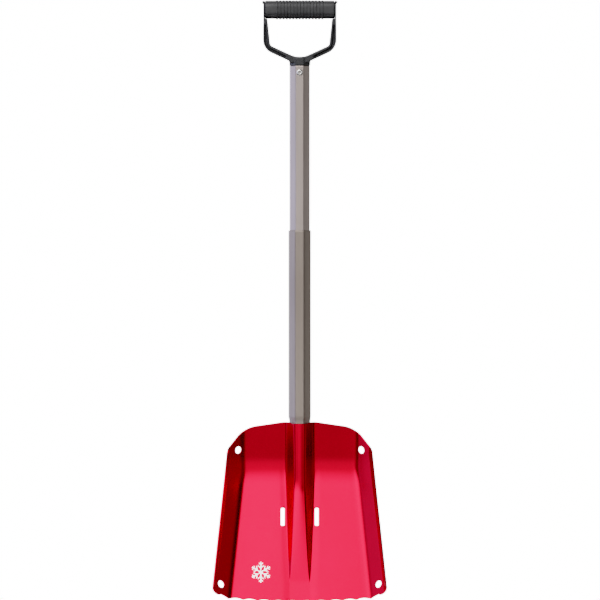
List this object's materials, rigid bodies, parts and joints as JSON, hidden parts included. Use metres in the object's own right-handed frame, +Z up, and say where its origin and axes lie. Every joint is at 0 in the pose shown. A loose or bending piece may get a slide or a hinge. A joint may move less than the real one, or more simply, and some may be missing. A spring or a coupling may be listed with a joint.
{
  "type": "avalanche shovel",
  "caption": "Compact snow shovel with a folded aluminium blade, a telescoping shaft of trapezoid tube with spring-button locks, and a D-shaped hand grip.",
  "frame": {"origin": "middle of the hand grip's bar, on the shaft's axis", "axes": "+Z up along the shaft, from the blade to the grip; +X to the right when looking into the scoop; -Y towards the scoop side"},
  "size_m": [0.2514, 0.1067, 0.8697],
  "materials": {
    "red_anodised": "satin red anodised sheet",
    "grey_anodised": "satin grey anodised tube",
    "grip_nylon": "moulded black nylon, satin",
    "grip_rubber": "matte black, ribbed",
    "rivet_metal": "bright",
    "spring_steel": "plain stainless steel",
    "plug_plastic": "matte"
  },
  "bodies": {
    "upper_shaft": {"grip_frame": "grip_nylon", "grip_sleeve": "grip_rubber", "grip_rivet_front": "rivet_metal", "grip_rivet_rear": "rivet_metal", "rivet_mandrel_front": "spring_steel", "rivet_mandrel_rear": "spring_steel", "upper_tube": "grey_anodised", "upper_tube_end_plug": "plug_plastic", "shaft_button_spring": "spring_steel"},
    "shaft_button": {"shaft_lock_button": "spring_steel"},
    "lower_shaft": {"lower_tube": "grey_anodised", "lower_tube_end_plug": "plug_plastic", "blade_button_spring": "spring_steel"},
    "blade_button": {"blade_lock_button": "spring_steel"},
    "blade": {"blade": "red_anodised", "socket_back_plate": "red_anodised"}
  },
  "joints": [
    {"name": "telescope", "type": "slide", "parent": "upper_shaft", "child": "lower_shaft", "axis": [0, 0, 1], "range_m": [0, 0.2], "deforming": ["shaft_lock_button", "shaft_button_spring"]},
    {"name": "blade_release", "type": "slide", "parent": "lower_shaft", "child": "blade", "axis": [0, 0, -1], "range_m": [0, 0.1], "deforming": ["blade_lock_button", "blade_button_spring"]},
    {"name": "shaft_button_press", "type": "slide", "parent": "upper_shaft", "child": "shaft_button", "axis": [0, -1, 0], "range_m": [0, 0.005], "stiffness_N_per_m": 1200, "deforming": ["shaft_button_spring"]},
    {"name": "blade_button_press", "type": "slide", "parent": "lower_shaft", "child": "blade_button", "axis": [0, -1, 0], "range_m": [0, 0.005], "stiffness_N_per_m": 1200, "deforming": ["blade_button_spring"]}
  ]
}
